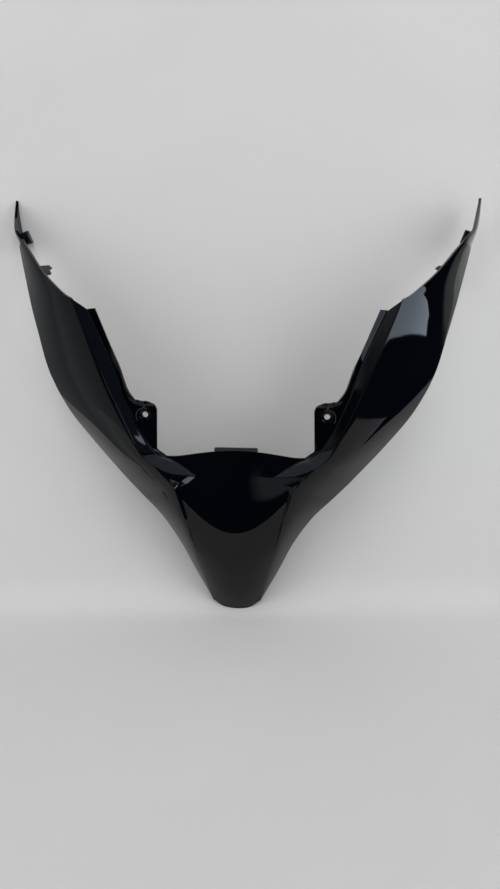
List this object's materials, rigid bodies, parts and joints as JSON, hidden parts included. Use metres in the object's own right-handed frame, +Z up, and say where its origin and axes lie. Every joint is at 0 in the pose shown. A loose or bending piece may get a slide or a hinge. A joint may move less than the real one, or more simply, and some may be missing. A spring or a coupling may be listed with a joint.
{
  "type": "motorcycle front fairing",
  "caption": "V-shaped moulded front fairing of a motorcycle: a shield nose with two creased arms that frame the headlight, with recessed screw lugs.",
  "frame": {"origin": "midway between the floors of the two dished screw seats in the lugs", "axes": "+X across the fairing, from one arm to the other; -Y the way the outside faces and the screws go in; +Z up, along the lugs, with the nose at the bottom"},
  "size_m": [0.454, 0.1595, 0.372],
  "materials": {
    "gloss_black_plastic": "gloss outside, satin moulded finish inside"
  },
  "bodies": {
    "root": {"fairing": "gloss_black_plastic"}
  },
  "joints": []
}
